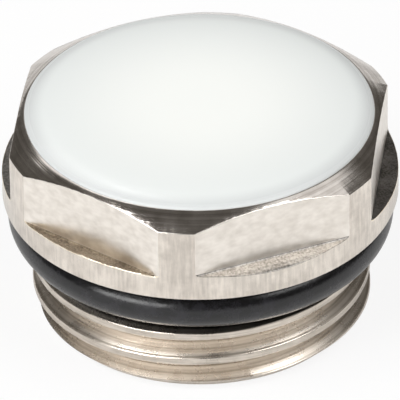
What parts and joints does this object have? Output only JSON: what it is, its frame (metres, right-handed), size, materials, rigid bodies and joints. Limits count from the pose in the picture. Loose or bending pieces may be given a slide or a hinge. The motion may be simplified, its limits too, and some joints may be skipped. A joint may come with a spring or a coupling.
{
  "type": "radiator blanking plug",
  "caption": "Plug with a chamfered hexagon head, a round flange, a white cap, a rubber ring and a G 1/2 thread, which closes a spare radiator opening.",
  "frame": {"origin": "centre of the underside of the flange, the face that seats on the radiator", "axes": "+Z along the plug's axis towards the cap; -Y towards a corner of the hexagon"},
  "size_m": [0.0242, 0.0242, 0.0142],
  "materials": {
    "nickel_plate": "brass with a satin nickel plate, turned and milled",
    "black_rubber": "moulded nitrile rubber, slightly shiny",
    "white_plastic": "glossy white moulded plastic"
  },
  "bodies": {
    "root": {"plug_body": "nickel_plate", "o_ring": "black_rubber", "white_cap": "white_plastic"}
  },
  "joints": []
}
